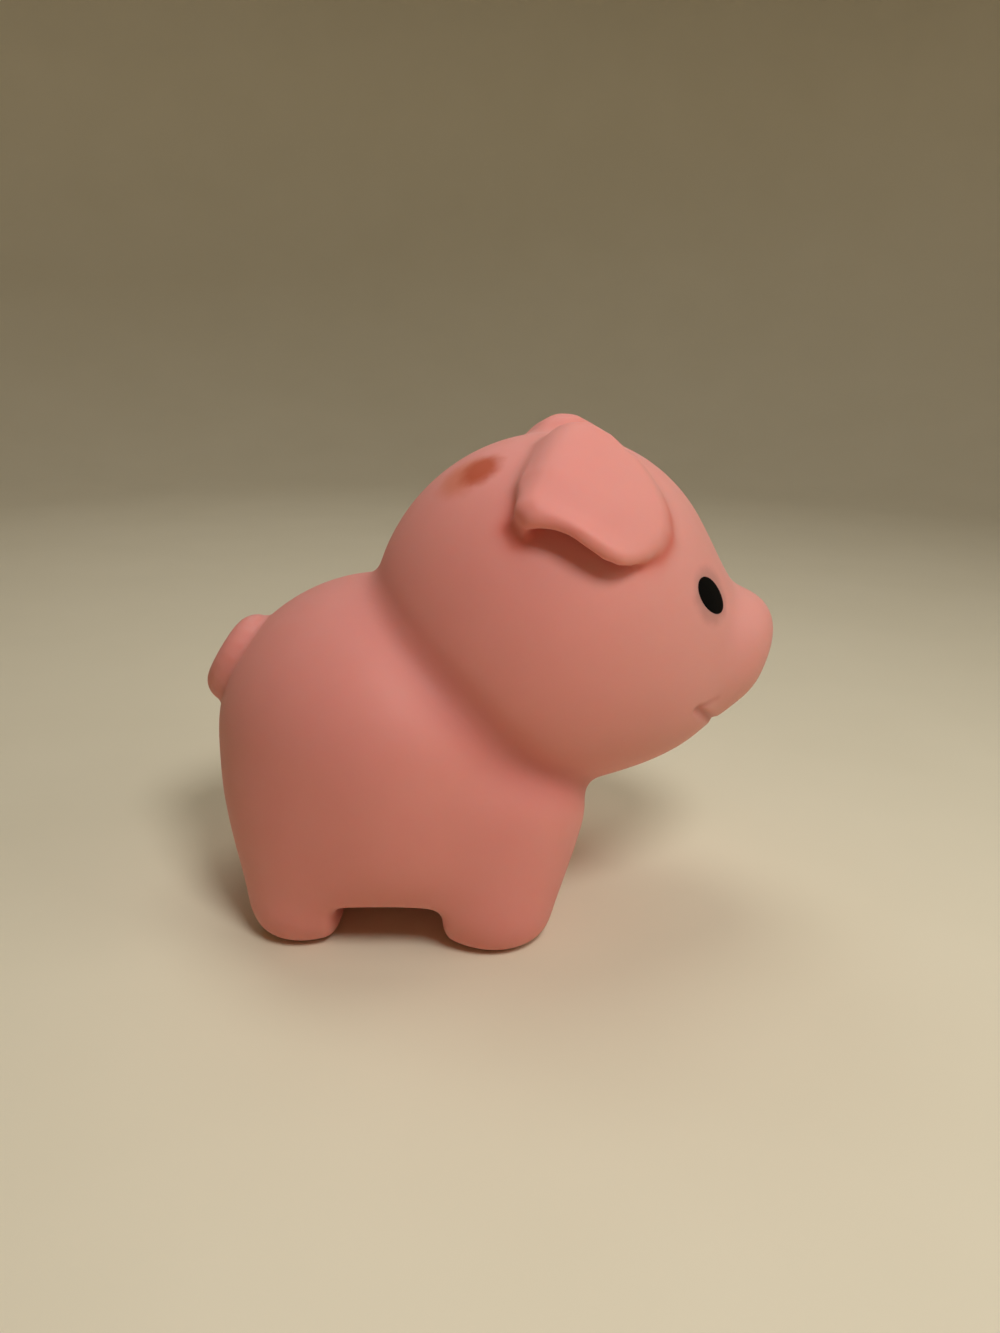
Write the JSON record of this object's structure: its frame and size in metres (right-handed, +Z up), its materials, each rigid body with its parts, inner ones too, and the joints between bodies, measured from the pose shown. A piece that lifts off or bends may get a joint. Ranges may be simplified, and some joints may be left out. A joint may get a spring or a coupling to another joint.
{
  "type": "pig bath toy",
  "caption": "Soft hollow vinyl pig bath toy with drooping ear flaps, curly tail, stub legs, painted eyes and a reed squeaker pressed into the belly; squeezes in the hand, stands on its soles.",
  "frame": {"origin": "on the plane of the soles, under the middle of the toy's length and width", "axes": "+X towards the snout, +Y towards the pig's left ear, +Z up"},
  "size_m": [0.0918, 0.0582, 0.0797],
  "materials": {
    "vinyl": "matte soft vinyl, pink",
    "eye_paint": "satin black paint",
    "squeaker_plastic": "moulded off-white plastic",
    "reed_film": "thin clear-grey plastic strip"
  },
  "bodies": {
    "toy": {"vinyl_shell": "vinyl", "eye_paint_right": "eye_paint", "eye_paint_left": "eye_paint", "squeaker_housing": "squeaker_plastic", "squeaker_trough": "squeaker_plastic", "squeaker_wedge": "squeaker_plastic"},
    "reed": {"squeaker_reed": "reed_film"}
  },
  "joints": [
    {"name": "reed_flex", "type": "hinge", "parent": "toy", "child": "reed", "pos_m": [-0.01354, 0, 0.0095], "axis": [0, 1, 0], "range_deg": [-1.5, 5], "stiffness_Nm_per_rad": 0.009}
  ]
}
